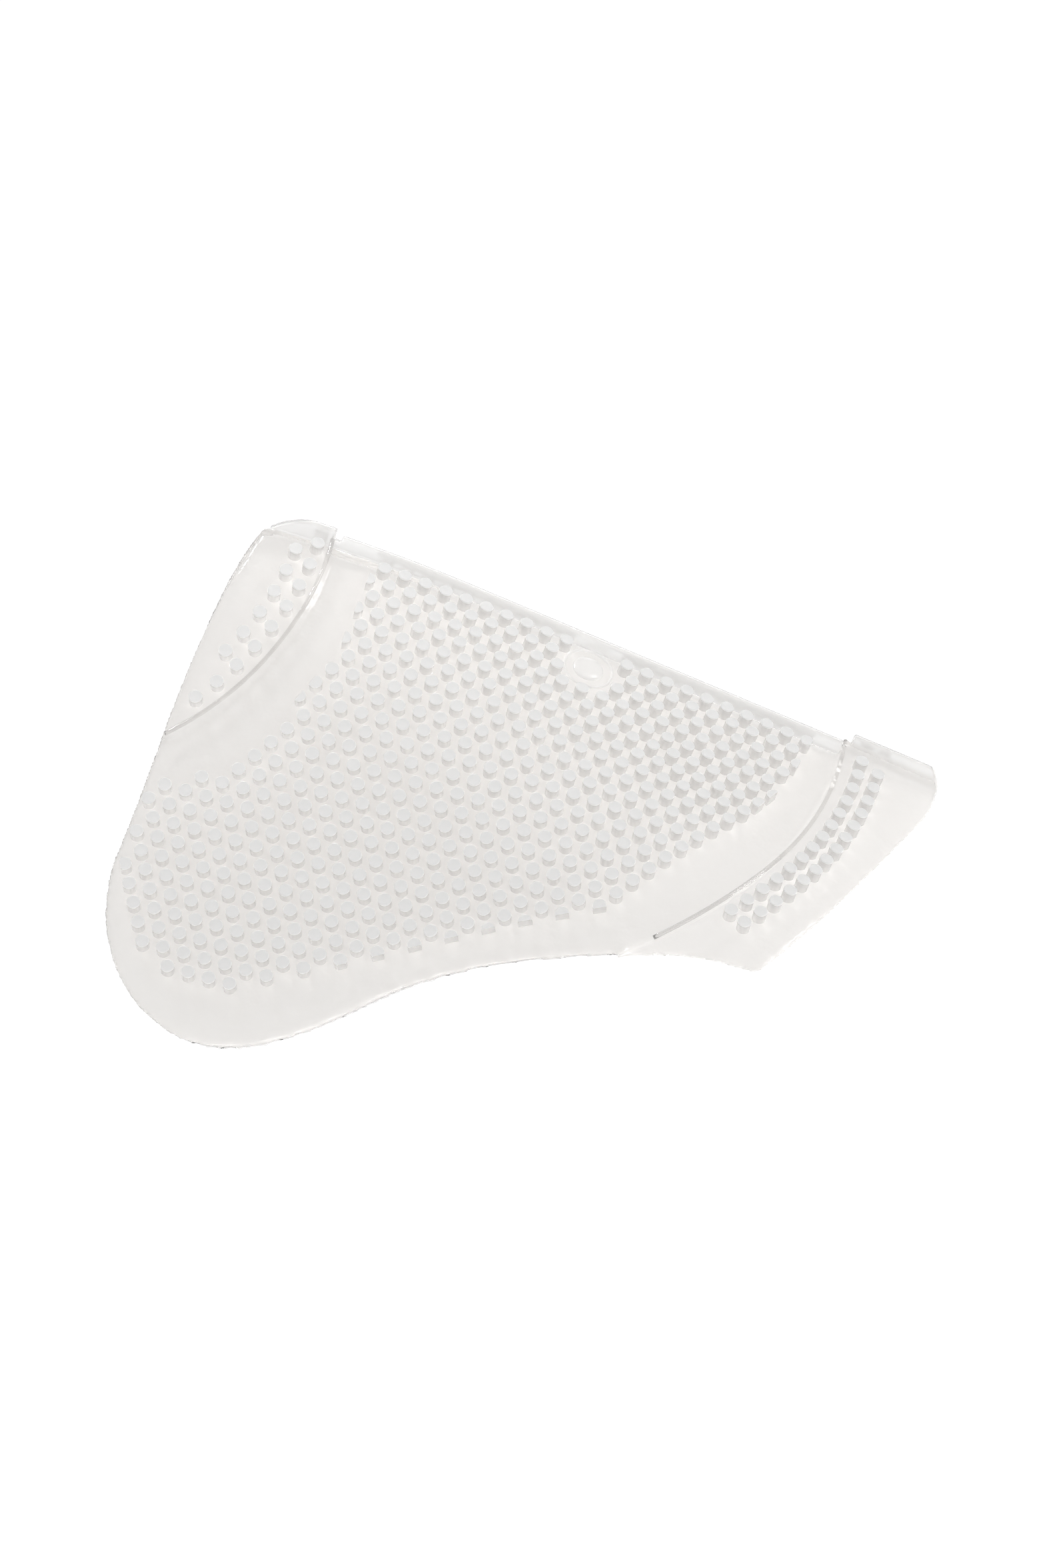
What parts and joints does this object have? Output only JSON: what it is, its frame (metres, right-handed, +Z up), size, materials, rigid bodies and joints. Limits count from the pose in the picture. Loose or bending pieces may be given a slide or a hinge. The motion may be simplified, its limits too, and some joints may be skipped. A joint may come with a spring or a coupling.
{
  "type": "studded gel half pad",
  "caption": "Clear gel half pad for under a saddle: two bent, studded flanks hang from a flexible spine strip, with raised wedges at the front and the rear.",
  "frame": {"origin": "middle of the bounding box, at the surface the pad stands on", "axes": "+Z up, +X towards the rear of the pad (the spine falls that way), the mirror plane between the flanks is Y = 0 and the left flank is at -Y"},
  "size_m": [0.6454, 0.5398, 0.3686],
  "materials": {
    "gel_panel": "clear glossy gel",
    "gel_riser": "clear glossy gel",
    "gel_stud": "clear glossy gel",
    "gel_spine": "clear gel, stippled",
    "gel_badge": "clear polished gel"
  },
  "bodies": {
    "spine": {"spine_bridge": "gel_spine", "front_bridge_riser": "gel_spine", "rear_bridge_riser": "gel_spine"},
    "left_flank": {"left_flank_pad": "gel_panel", "left_front_riser": "gel_riser", "left_rear_riser": "gel_riser", "left_grip_studs": "gel_stud", "left_front_riser_studs": "gel_stud", "left_rear_riser_studs": "gel_stud", "left_badge_ring": "gel_badge", "left_badge_dome": "gel_badge"},
    "right_flank": {"right_flank_pad": "gel_panel", "right_front_riser": "gel_riser", "right_rear_riser": "gel_riser", "right_grip_studs": "gel_stud", "right_front_riser_studs": "gel_stud", "right_rear_riser_studs": "gel_stud", "right_badge_ring": "gel_badge", "right_badge_dome": "gel_badge"}
  },
  "joints": [
    {"name": "left_flank_fold", "type": "hinge", "parent": "spine", "child": "left_flank", "pos_m": [-0.01853, -0.0084, 0.30273], "axis": [-0.8588, 0, 0.5123], "range_deg": [-12, 30], "stiffness_Nm_per_rad": 60},
    {"name": "right_flank_fold", "type": "hinge", "parent": "spine", "child": "right_flank", "pos_m": [-0.01853, 0.0084, 0.30273], "axis": [0.8588, 0, -0.5123], "range_deg": [-12, 30], "stiffness_Nm_per_rad": 60}
  ]
}
